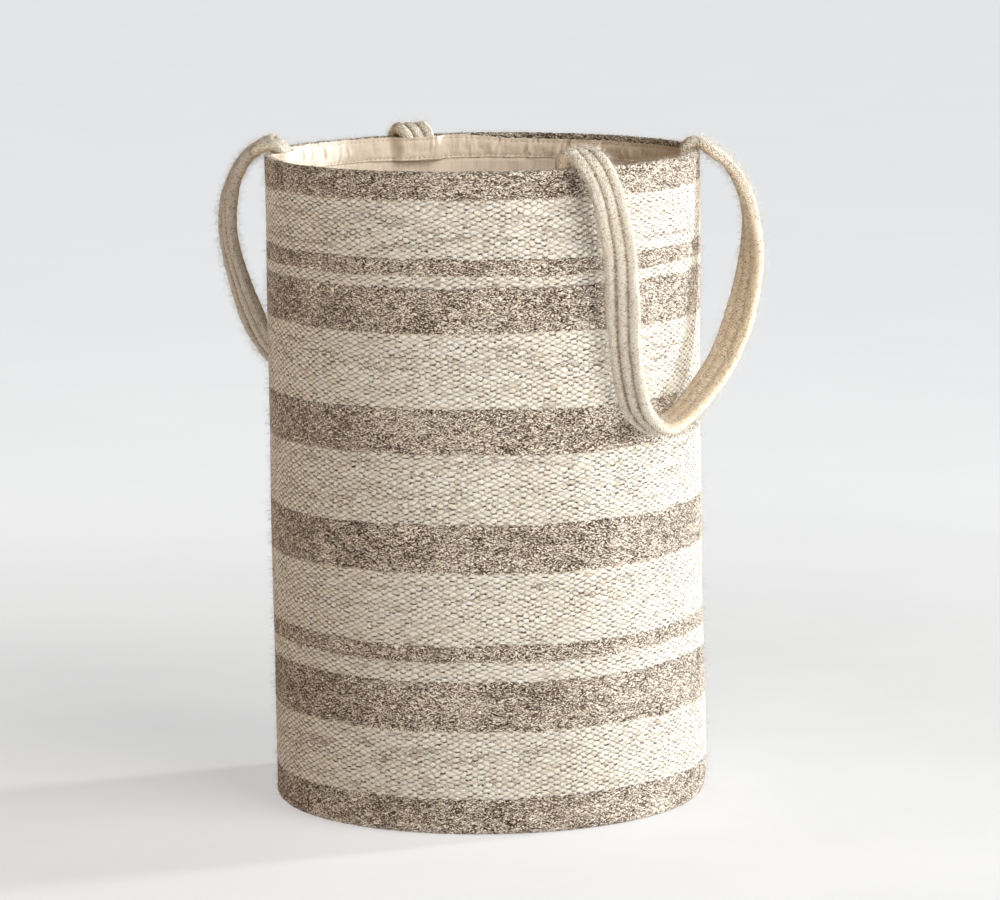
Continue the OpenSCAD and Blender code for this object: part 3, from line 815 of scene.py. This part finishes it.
face_stitch = ring_stitches("facing_lower_stitches", SEAM_Z, 0.0048, 0.0034, 0.00036, facing_radius)
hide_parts("facing_stitching")
dress(face_stitch, MAT_SEAM)
top_stitch = ring_stitches("facing_upper_stitches", 0.6015, 0.0052, 0.0034, 0.00034, facing_radius, seed=71)
dress(top_stitch, MAT_SEAM)


def build_base_stitches():
    n = 190
    g = np.random.default_rng(73)
    a0 = np.arange(n) / n * 2 * pi
    a1 = a0 + 0.0042 / 0.19
    z = np.full(n, 0.0010)
    r0 = 0.1888 + g.uniform(-0.0002, 0.0002, n)
    r1 = 0.1912 + g.uniform(-0.0002, 0.0002, n)
    p0 = ring_points(r0, a0, z)
    p1 = ring_points(r1, a1, z)
    return stitch_mesh("base_seam_stitches", p0, p1, np.tile([0, 0, -1.0], (n, 1)), 0.00042)


base_stitch = build_base_stitches()
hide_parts("base_seam_stitching")
dress(base_stitch, MAT_SEAM)


# ---------------------------------------------------------------- strap handles
# rows: along the rim, outward, below the hinge (mm), then the direction the strap's front faces
RIGHT_ROWS = [
    [-111, 14, -10, -0.5, 0.75, -0.45],
    [-110, 24, 5, -0.55, 0.72, -0.4],
    [-109, 32, 27, -0.58, 0.75, -0.3],
    [-101, 37, 70, -0.75, 0.62, -0.1],
    [-98, 38, 111, -0.9, 0.4, 0],
    [-93, 38, 166, -0.95, 0.2, 0.1],
    [-81, 40, 212, -0.8, 0.1, 0.5],
    [-66, 44, 231, -0.6, 0, 0.8],
    [-48, 48, 239, -0.1, 0, 1],
    [-20, 50, 232, 0.3, 0, 0.9],
    [12, 52, 217, 0.5, 0, 0.8],
    [55, 54, 188, 0.7, 0, 0.6],
    [86, 56, 149, 0.9, 0.1, 0.3],
    [106, 57, 98, 0.9, 0.35, 0],
    [119, 47, 48, 0.65, 0.72, -0.3],
    [114, 32, 14, 0.45, 0.66, -0.6],
    [105, 17, -1, 0.38, 0.62, -0.68],
]
LEFT_ROWS = [
    [-109, 13, -3, -0.52, 0.85, -0.3],
    [-109, 24, 15, -0.55, 0.75, -0.4],
    [-104, 33, 42, -0.6, 0.75, -0.2],
    [-99, 37, 82, -0.75, 0.62, -0.1],
    [-97, 38, 120, -0.9, 0.4, 0],
    [-92, 38, 168, -0.95, 0.2, 0.1],
    [-80, 40, 208, -0.8, 0.1, 0.5],
    [-62, 44, 230, -0.5, 0, 0.85],
    [-40, 48, 239, -0.1, 0, 1],
    [-4, 50, 233, 0.3, 0, 0.9],
    [34, 50, 212, 0.5, 0, 0.8],
    [76, 47, 173, 0.75, 0.05, 0.6],
    [106, 50, 103, 0.84, 0.32, 0.3],
    [116, 47, 59, 0.86, 0.48, 0.05],
    [113, 41, 26, 0.75, 0.6, -0.2],
    [106, 30, 4, 0.6, 0.66, -0.5],
    [102, 15, -7, 0.38, 0.62, -0.68],
]
ARCH = 10.8  # radius of the strap's middle where it goes over the rim (mm)
GROOVE = 5.5  # the two grooves' distance from the strap's middle (mm)
# shift along the rim of the sewn-in end and the fold of each strap (mm)
LEAN = {"right": (-9, -9, -9, -9, -9, -9, -8, -6, -4, -2), "left": (0, 0, 0, 0, 2, 5, 8, 9, 9, 9, 6, 3)}
# outline of the strap across its width: three round ribs in front, flatter at the back (mm)
SECTION = np.array([
    [-16, 0.5], [-15.4, 3.6], [-13, 5.1], [-10.8, 5.5], [-8, 4.9], [-5.5, 3.4], [-3, 5], [0, 5.5],
    [3, 5], [5.5, 3.4], [8, 4.9], [10.8, 5.5], [13, 5.1], [15.4, 3.6], [16, 0.5], [15.6, -3.2],
    [13, -5], [9, -5.29], [5.5, -4.6], [0, -5.29], [-5.5, -4.6], [-9, -5.29], [-13, -5], [-15.6, -3.2],
])


def spline(P, n, closed=False):
    """Catmull-Rom through P with n steps per span."""
    P = np.asarray(P, float)
    m = len(P)
    t = (np.arange(n) / n)[None, :, None]
    if closed:
        i = np.arange(m)
        p0, p1, p2, p3 = P[i - 1], P[i], P[(i + 1) % m], P[(i + 2) % m]
    else:
        i = np.arange(m - 1)
        p0, p1, p2, p3 = P[np.maximum(i - 1, 0)], P[i], P[i + 1], P[np.minimum(i + 2, m - 1)]
    p0, p1, p2, p3 = (a[:, None] for a in (p0, p1, p2, p3))
    square = 2 * p0 - 5 * p1 + 4 * p2 - p3
    cube = 3 * p1 - p0 - 3 * p2 + p3
    q = 0.5 * (2 * p1 + (p2 - p0) * t + square * t**2 + cube * t**3)
    q = q.reshape(-1, P.shape[1])
    return q if closed else np.concatenate([q, P[-1:]])


def arch_row(s, deg, drop=0.0, rise=1.0):
    """A row of the path at deg degrees of the arch over the rim, at end s (-1 or 1) of the strap."""
    a = math.radians(deg)
    ex, ey = math.cos(END), math.sin(END)
    r = -ARCH * math.cos(a)
    return [
        s * (102.9 + ey * r), ex * r, -ARCH * rise * math.sin(a) + drop,
        -s * ey * math.cos(a), -ex * math.cos(a), -math.sin(a),
    ]


def strap_path(word, loop, rise, turn):
    """Centreline, tangent, outward and across directions every 0.65 mm, in metres."""
    rows = [arch_row(-1, 0, d) for d in (18, 12, 6)]
    rows += [arch_row(-1, a, 0, rise) for a in range(0, 121, 20)] + loop
    rows += [arch_row(1, a, 0, 0.85) for a in range(120, -1, -20)]
    rows += [arch_row(1, 0, d) for d in (6, 12, 18)]
    for row, move in zip(rows, LEAN[word]):
        row[0] += move
    q = spline(rows, 24)
    p = np.stack([AX + q[:, 1] * MM, q[:, 0] * MM, Z_AXIS - q[:, 2] * MM], -1)
    N = np.stack([q[:, 4], q[:, 3], -q[:, 5]], -1)
    length = np.concatenate([[0], np.cumsum(np.linalg.norm(np.diff(p, axis=0), axis=1))])
    m = int(length[-1] / 0.00065)
    s = np.linspace(0, length[-1], m)
    p = np.stack([np.interp(s, length, p[:, i]) for i in range(3)], -1)
    N = np.stack([np.interp(s, length, N[:, i]) for i in range(3)], -1)

    def soften(A, k, times):
        window = np.ones(2 * k + 1) / (2 * k + 1)
        for _ in range(times):
            pad = np.pad(A, ((k, k), (0, 0)), mode="reflect", reflect_type="odd")
            A = np.stack([np.convolve(pad[:, i], window, "valid") for i in range(3)], -1)
        return A

    p, N = soften(p, 6, 2), soften(N, 10, 3)
    T = np.gradient(p, axis=0)
    T /= np.linalg.norm(T, axis=1)[:, None]
    N = N - (N * T).sum(1)[:, None] * T
    N /= np.linalg.norm(N, axis=1)[:, None]
    spin = np.array([[math.cos(turn), math.sin(turn), 0], [-math.sin(turn), math.cos(turn), 0], [0, 0, 1]])
    p, T, N = p @ spin, T @ spin, N @ spin
    return s, p, T, N, np.cross(T, N)


def section_normals(sec):
    """Outward directions round the strap's section."""
    tang = np.roll(sec, -1, 0) - np.roll(sec, 1, 0)
    nrm = np.stack([-tang[:, 1], tang[:, 0]], -1)
    nrm /= np.linalg.norm(nrm, axis=1)[:, None]
    return -nrm if (nrm * sec).sum() < 0 else nrm


def build_strap(name, path, seed):
    s, p, _, N, B = path
    sec = spline(SECTION, 4, closed=True) * MM
    n, m = len(s), len(sec)
    u = np.arange(m) / m
    v = s / s[-1]
    V, U = np.meshgrid(v, u, indexing="ij")
    nrm = section_normals(sec)
    relief = 0.00042 * pillow(U * 26, s[:, None] / 0.0015) + 0.00030 * vnoise(U, V, 48, 320, seed)
    relief = relief + 0.00030 * vnoise(U, V, 24, 120, seed + 4)
    relief = relief + 0.00035 * vnoise(U, V, 5, 30, seed + 1) - 0.0004
    wide = 0.965 + 0.03 * vnoise(0 * v, v, 3, 22, seed + 2)[:, None]
    flat = 1 + 0.05 * vnoise(0 * v + 0.4, v, 3, 26, seed + 3)[:, None]
    # the strap is pressed thinner where it is sewn in
    ends = np.minimum(s, s[-1] - s)
    flat = flat * (0.86 + 0.14 * sstep(ends, 0.0, 0.02))[:, None]
    b = sec[None, :, 0] * wide + nrm[None, :, 0] * relief
    h = sec[None, :, 1] * flat + nrm[None, :, 1] * relief
    verts = p[:, None] + B[:, None] * b[..., None] + N[:, None] * h[..., None]
    faces = grid_faces(n, m, True, False)
    caps = np.array([[i, m - i - 1, m - i - 2, i + 1] for i in range(m // 2 - 1)])
    capb = caps[:, ::-1] + (n - 1) * m
    Uc = np.broadcast_to(np.arange(m + 1) / m, (n, m + 1))
    Vc = np.broadcast_to(s[:, None], (n, m + 1))
    pad = np.zeros((2 * len(caps) * 4, 2))
    uvs = {
        "OFBake": np.concatenate([grid_uv(n, m, True, False, Uc * 0.96, Vc / s[-1]), pad + 0.98]),
        "cloth": np.concatenate([grid_uv(n, m, True, False, Uc, Vc), pad]),
    }
    ob = make_mesh(name, verts.reshape(-1, 3), np.concatenate([faces, caps, capb]), uvs)
    across = np.abs(sec[:, 0]) / MM
    # mask of the two grooves, where the material paints dark flecks and shade
    groove = np.exp(-(((across - GROOVE) / 1.5) ** 2)) * (sec[:, 1] > 0)
    groove = groove + 0.55 * np.exp(-(((across - GROOVE) / 1.2) ** 2)) * (sec[:, 1] < 0)
    # mask of the strap's back face, which the material paints with shade
    under = sstep(-sec[:, 1] / MM, -1.0, 3.0)
    for label, values in (("groove", groove), ("under", under)):
        at = ob.data.attributes.new(label, "FLOAT", "POINT")
        at.data.foreach_set("value", np.broadcast_to(values, (n, m)).astype(np.float32).ravel())
    return ob


def groove_stitches(name, path, seed):
    s, p, _, N, B = path
    g = np.random.default_rng(seed)
    starts, ends, nrm = [], [], []
    for side in (-GROOVE, GROOVE):
        x = np.arange(0.012, s[-1] - 0.012, 0.0046) + g.uniform(-0.0003, 0.0003)
        i0 = np.searchsorted(s, x)
        i1 = np.minimum(np.searchsorted(s, x + 0.0031), len(s) - 1)
        j = g.uniform(-0.25, 0.25, len(x))[:, None] * MM
        for idx, out in ((i0, starts), (i1, ends)):
            out.append(p[idx] + B[idx] * (side * MM + j) + N[idx] * 0.0037)
        nrm.append(N[(i0 + i1) // 2])
    return stitch_mesh(name, np.concatenate(starts), np.concatenate(ends), np.concatenate(nrm), 0.0005)


def strap_fibres(name, path, count, seed):
    s, p, T, N, B = path
    g = np.random.default_rng(seed)
    i = g.integers(40, len(s) - 40, count)
    sec = spline(SECTION, 4, closed=True) * MM
    k = g.integers(0, len(sec), count)
    nr = section_normals(sec)
    root = p[i] + B[i] * sec[k, 0:1] + N[i] * sec[k, 1:2]
    out = B[i] * nr[k, 0:1] + N[i] * nr[k, 1:2]
    side = T[i] * g.normal(0, 1, (count, 1)) + np.cross(T[i], out) * g.normal(0, 0.6, (count, 1))
    return fibre_mesh(name, root, out, side, g.uniform(0.002, 0.0085, count), g, 0.0003)


def fibre_mesh(name, root, out, side, length, g, width=0.00024, segs=3):
    """Flat curling fibres: root points, outward directions, sideways directions and lengths."""
    n = len(root)
    side = side - (side * out).sum(1)[:, None] * out
    side /= np.linalg.norm(side, axis=1)[:, None] + 1e-9
    binorm = np.cross(out, side)
    lean = g.uniform(0.4, 1.4, n)
    curl = g.normal(0, 0.5, n)
    pts = []
    for k in range(segs + 1):
        t = k / segs
        q = (
            root
            + out * (length * (math.sin(t * 1.3) * 0.75) / (0.5 + 0.5 * lean))[:, None]
            + side * (length * lean * t * t * 0.8)[:, None]
            + binorm * (length * curl * t * t * 0.6)[:, None]
        )
        pts.append(q)
    pts = np.stack(pts, 1)
    wdir = binorm * 0.8 + out * 0.2
    taper = np.linspace(1.0, 0.25, segs + 1)[None, :, None] * width / 2
    a = pts - wdir[:, None] * taper
    b = pts + wdir[:, None] * taper
    c = pts + np.cross(side, wdir)[:, None] * taper
    V = np.stack([a, b, c], 2).reshape(-1, 3)
    V[:, 2] = np.maximum(V[:, 2], 0.0002)
    one = grid_faces(segs + 1, 3, True, False)
    faces = (one[None] + (np.arange(n) * (segs + 1) * 3)[:, None, None]).reshape(-1, 4)
    # each fibre takes a small piece of a shared strip of the map
    u = (np.arange(n) % 512) / 512
    w = (np.arange(n) // 512) / max(1, math.ceil(n / 512))
    uv = np.repeat(np.stack([u + 0.0005, w + 0.0005], -1), len(one) * 4, 0)
    corner = np.tile(np.array([[0, 0], [0.0012, 0], [0.0012, 0.004], [0, 0.004]]), (n * len(one), 1))
    return make_mesh(name, V, faces, {"OFBake": uv + corner})


def cover_fibres(count, seed):
    g = np.random.default_rng(seed)
    z = g.uniform(0.004, 0.6085, count)
    keep = g.uniform(0, 1, count) < np.where((np.searchsorted(STRIPES, z / ROW) % 2) == 0, 1.0, 0.62)
    z = z[keep]
    phi = g.uniform(0, 2 * pi, len(z))
    r = R_OUT + wobble(phi, z) - 0.0002
    root = ring_points(r, phi, z + rim_lift(phi, z))
    out = np.stack([np.cos(phi), np.sin(phi), 0 * phi], -1)
    around = np.stack([-np.sin(phi), np.cos(phi), 0 * phi], -1)
    side = around * g.normal(0, 1, (len(z), 1)) + np.array([0, 0, 1.0]) * g.normal(0, 0.7, (len(z), 1))
    length = np.minimum(g.uniform(0.003, 0.0095, len(z)), z * 1.4 + 0.0005)
    return fibre_mesh("cover_stray_fibres", root, out, side, length, g)


def rim_fibres(count, seed):
    g = np.random.default_rng(seed)
    phi = g.uniform(0, 2 * pi, count)
    a = g.uniform(0.2, pi - 0.1, count)
    r = R_IN + wobble(phi, 0 * phi + 0.61) + 0.0033 * np.cos(a)
    z = Z_AXIS + 0.0033 * np.sin(a) + rim_lift(phi, 0 * phi + 0.61)
    root = ring_points(r, phi, z)
    out = np.stack([np.cos(phi) * np.cos(a), np.sin(phi) * np.cos(a), np.sin(a)], -1)
    around = np.stack([-np.sin(phi), np.cos(phi), 0 * phi], -1)
    side = around * g.normal(0, 1, (count, 1)) + out[:, [1, 2, 0]] * 0.3
    return fibre_mesh("rim_stray_fibres", root, out, side, g.uniform(0.0015, 0.005, count), g)


hairs = cover_fibres(19000, 91)
dress(hairs, MAT_FIBRE)
rimh = rim_fibres(3200, 92)
dress(rimh, MAT_FIBRE)

# name, loop, height of the first fold, turn about the axis, seed
HANDLES = (("right", RIGHT_ROWS, 1.6, 0.0, 101), ("left", LEFT_ROWS, 1.0, LEFT_TURN, 131))
for word, loop, rise, turn, seed in HANDLES:
    path = strap_path(word, [list(r) for r in loop], rise, turn)
    strap = build_strap(f"{word}_strap", path, seed)
    ends = [f"{word}_{e}_{k}" for e in ("front", "rear") for k in ("tail", "fold")]
    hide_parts(f"{word}_handle_loop", *ends)
    stitches = groove_stitches(f"{word}_strap_stitches", path, seed + 5)
    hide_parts(f"{word}_handle_stitching")
    fuzz = strap_fibres(f"{word}_strap_fibres", path, 9500, seed + 9)
    looks = (
        (strap, MAT_STRAP, "handle_strap"), (stitches, MAT_GROOVE, "handle_thread"), (fuzz, MAT_FUZZ, "handle_strap"),
    )
    for ob, mat, slot in looks:
        dress(ob, mat, None)
        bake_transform(ob)

# ---------------------------------------------------------------- carried-over CAD pieces
for node, mat, slot in (
    ("base_panel", MAT_PANEL, "woven_cover"),
    ("base_board", MAT_BOARD, "stiffener_sheet"),
    ("wall_stiffener", MAT_SHEET, "stiffener_sheet"),
):
    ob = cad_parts[node]
    ob.data.materials.clear()
    ob.data.materials.append(mat)

# ---------------------------------------------------------------- floor, light and camera
scene = bpy.context.scene
FLOOR_GLOW = 0.50  # the pale floor is partly self-lit so that it stays even into the distance


def stage_floor():
    me = bpy.data.meshes.new("floor")
    me.from_pydata([(-60, -60, 0), (60, -60, 0), (60, 60, 0), (-60, 60, 0)], [], [(0, 1, 2, 3)])
    ob = bpy.data.objects.new("floor", me)
    scene.collection.objects.link(ob)
    m = Shade("floor_plaster")
    co = m.coords()
    n = m.noise(co, 3.0, 5.0, 0.6)
    f = m.noise(co, 90.0, 3.0, 0.6)
    colour = m.mix(m.remap(n, 0.3, 0.7), (0.41, 0.41, 0.412), (0.45, 0.45, 0.45))
    far = m.node("ShaderNodeVectorMath", operation="LENGTH")
    m.put(far.inputs[0], co)
    m.put(m.bsdf.inputs["Emission Color"], (0.985, 0.99, 1.0, 1))
    glow = m.remap(far.outputs["Value"], 0.4, 2.0, FLOOR_GLOW, FLOOR_GLOW + 0.18)
    m.put(m.bsdf.inputs["Emission Strength"], glow)
    me.materials.append(m.finish(colour, m.remap(f, 0.3, 0.7, 0.75, 0.9), m.bump(f, 0.0004, 0.35), 0.0, 0.1))
    ob.location.z = -0.0003


stage_floor()


def polar(az, el, dist, target=(0, 0, 0.32)):
    """Point at azimuth az degrees to the right of the camera direction."""
    a = CAM_DIR + math.radians(az)
    e = math.radians(el)
    return Vector(target) + Vector((math.cos(a) * math.cos(e), math.sin(a) * math.cos(e), math.sin(e))) * dist


def area(name, az, el, dist, size, power, colour, target=(0, 0, 0.32), size_y=None):
    light = bpy.data.lights.new(name, "AREA")
    light.shape = "RECTANGLE"
    light.size = size
    light.size_y = size_y or size
    light.energy = power
    light.color = colour
    ob = bpy.data.objects.new(name, light)
    scene.collection.objects.link(ob)
    ob.location = polar(az, el, dist, target)
    ob.rotation_euler = (Vector(target) - ob.location).to_track_quat("-Z", "Y").to_euler()
    return ob


area("key", 46, 27, 3.2, 3.0, 132, (1.0, 0.98, 0.92))
area("warm_bounce", -82, 4, 3.0, 2.2, 30, (1.0, 0.66, 0.33))
sun = bpy.data.lights.new("sun", "SUN")
sun.energy = 4.6
sun.angle = math.radians(7)
sun.color = (0.90, 0.96, 1.0)
sun_ob = bpy.data.objects.new("sun", sun)
scene.collection.objects.link(sun_ob)
sun_ob.location = polar(112, 9, 4)
sun_ob.rotation_euler = (Vector((0, 0, 0.32)) - sun_ob.location).to_track_quat("-Z", "Y").to_euler()

world = bpy.data.worlds.new("studio")
world.use_nodes = True
world.node_tree.nodes["Background"].inputs[0].default_value = (0.93, 0.95, 1.0, 1)
world.node_tree.nodes["Background"].inputs[1].default_value = 0.01
scene.world = world
scene.view_settings.view_transform = "Standard"

cam = bpy.data.cameras.new("camera")
cam.sensor_width = 36
cam.lens = 187.52
cam.clip_end = 100
cam_ob = bpy.data.objects.new("camera", cam)
scene.collection.objects.link(cam_ob)
back = Vector((math.cos(CAM_DIR), math.sin(CAM_DIR), 0))
side = Vector((-math.sin(CAM_DIR), math.cos(CAM_DIR), 0))
pitch, roll = math.radians(8.497), math.radians(-0.773)
view_back = back * math.cos(pitch) + Vector((0, 0, math.sin(pitch)))
up = Vector((0, 0, math.cos(pitch))) - back * math.sin(pitch)
r1 = side * math.cos(roll) + up * math.sin(roll)
u1 = up * math.cos(roll) - side * math.sin(roll)
cam_ob.matrix_world = Matrix((
    (r1.x, u1.x, view_back.x, 0), (r1.y, u1.y, view_back.y, 0), (r1.z, u1.z, view_back.z, 0), (0, 0, 0, 1),
))
cam_ob.location = back * 4.8651 + side * 0.013245 + Vector((0, 0, 1.0535))
scene.camera = cam_ob
